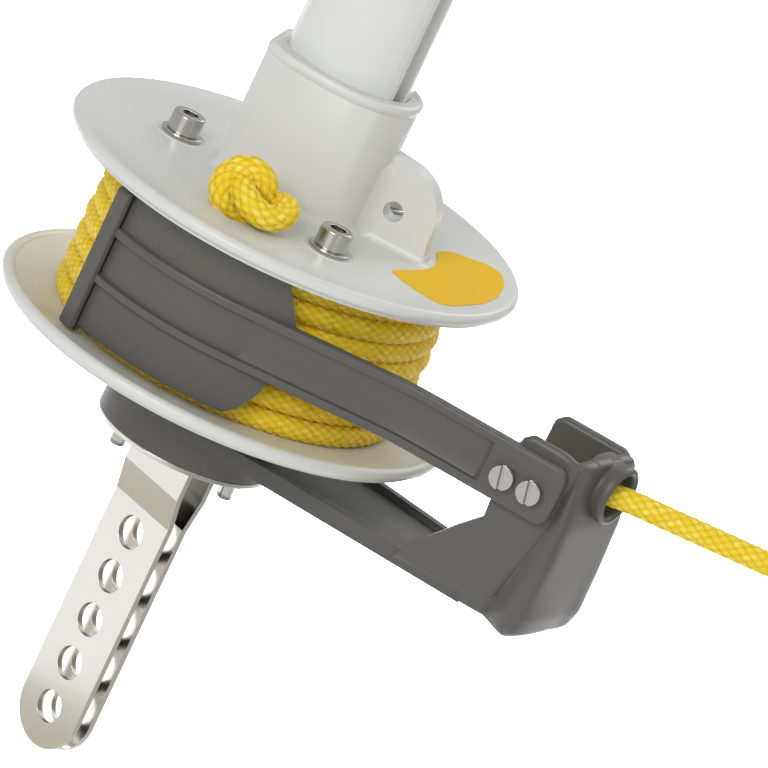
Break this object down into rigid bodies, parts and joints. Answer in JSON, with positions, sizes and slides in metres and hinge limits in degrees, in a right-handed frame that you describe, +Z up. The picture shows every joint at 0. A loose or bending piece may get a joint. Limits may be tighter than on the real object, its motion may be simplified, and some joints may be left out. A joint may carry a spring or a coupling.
{
  "type": "headsail furler drum",
  "caption": "Headsail furling drum for a small boat: flanged rope drum on a ball-bearing spindle, with a line guard, a fairlead arm and an adjusting fork with a row of clevis holes.",
  "frame": {"origin": "centre of the lowest clevis hole, midway between the two fork plates, on the stay's axis", "axes": "+Z up the stay from the fork to the foil, +X along the fairlead arm, +Y away from the line guard"},
  "size_m": [0.2343, 0.12, 0.231],
  "materials": {
    "polished_steel": "polished stainless",
    "turned_steel": "turned stainless",
    "race_steel": "ground stainless",
    "screw_steel": "bright stainless",
    "spring_steel": "dark spring steel",
    "ball_plastic": "polished acetal",
    "cage_plastic": "moulded nylon",
    "grey_plastic": "fine moulded texture, dark warm grey",
    "white_plastic": "moulded, satin gloss, off white",
    "foil_plastic": "extruded, satin gloss, white",
    "yellow_label": "printed vinyl label, yellow",
    "yellow_rope": "braided polyester rope, yellow"
  },
  "bodies": {
    "base": {"fork_front_plate": "polished_steel", "fork_rear_plate": "polished_steel", "head_disc": "polished_steel", "spindle": "turned_steel", "base_moulding": "grey_plastic", "base_bolts": "screw_steel", "base_washers": "screw_steel", "base_nuts": "screw_steel", "lower_inner_race": "race_steel", "bearing_spacer": "turned_steel", "upper_inner_race": "race_steel", "spindle_circlip": "spring_steel", "line_guard": "grey_plastic", "guard_screws": "screw_steel", "guard_nuts": "screw_steel", "furling_line": "yellow_rope", "end_knot": "yellow_rope"},
    "drum": {"lower_flange": "white_plastic", "drum_hub": "white_plastic", "top_flange": "white_plastic", "flange_screws": "screw_steel", "flange_washers": "screw_steel", "flange_nuts": "screw_steel", "lower_outer_race": "race_steel", "upper_outer_race": "race_steel", "foil": "foil_plastic", "foil_clamp_screw": "screw_steel", "size_sticker": "yellow_label", "line_winding": "yellow_rope", "start_knot": "yellow_rope"},
    "ball_sets": {"lower_bearing_balls": "ball_plastic", "upper_bearing_balls": "ball_plastic", "lower_ball_cage": "cage_plastic", "upper_ball_cage": "cage_plastic"}
  },
  "joints": [
    {"name": "drum_spin", "type": "hinge", "parent": "base", "child": "drum", "pos_m": [0, 0, 0.12], "axis": [0, 0, 1], "continuous": true},
    {"name": "ball_orbit", "type": "hinge", "parent": "base", "child": "ball_sets", "pos_m": [0, 0, 0.12], "axis": [0, 0, 1], "continuous": true}
  ],
  "couplings": [
    {"joint": "ball_orbit", "follows": "drum_spin", "ratio": 0.619}
  ]
}
